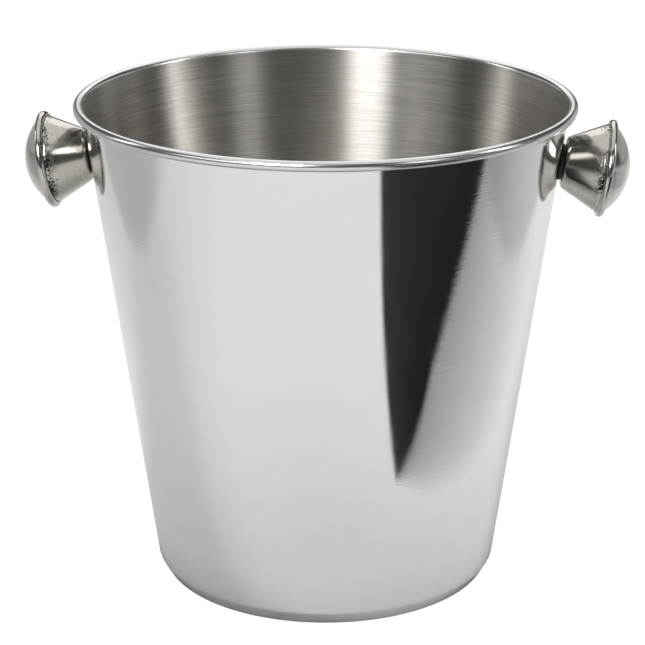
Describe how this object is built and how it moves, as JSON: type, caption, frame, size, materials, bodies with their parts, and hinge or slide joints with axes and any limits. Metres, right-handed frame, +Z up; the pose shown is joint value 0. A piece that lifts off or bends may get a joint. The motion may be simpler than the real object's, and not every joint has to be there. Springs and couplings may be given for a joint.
{
  "type": "champagne bucket",
  "caption": "Polished steel champagne bucket, tapered, with a rolled rim and a hollow screwed-on knob handle on each side.",
  "frame": {"origin": "centre of the base, on the surface that the bucket stands on", "axes": "+Z up the bucket's own axis, +X along the line through both knob handles, +Y away from the front"},
  "size_m": [0.2548, 0.21, 0.208],
  "materials": {
    "mirror_steel": "polished",
    "knob_steel": "polished",
    "plain_steel": "satin",
    "black_rubber": "matte"
  },
  "bodies": {
    "root": {"bucket_body": "mirror_steel", "right_knob_bell": "knob_steel", "right_knob_cap": "knob_steel", "right_knob_saddle_gasket": "black_rubber", "right_knob_backing_plate": "plain_steel", "right_knob_captive_nut": "plain_steel", "right_knob_screw": "plain_steel", "right_knob_spring_washer": "plain_steel", "right_knob_flat_washer": "plain_steel", "right_knob_seal_washer": "black_rubber", "left_knob_bell": "knob_steel", "left_knob_cap": "knob_steel", "left_knob_saddle_gasket": "black_rubber", "left_knob_backing_plate": "plain_steel", "left_knob_captive_nut": "plain_steel", "left_knob_screw": "plain_steel", "left_knob_spring_washer": "plain_steel", "left_knob_flat_washer": "plain_steel", "left_knob_seal_washer": "black_rubber"}
  },
  "joints": []
}
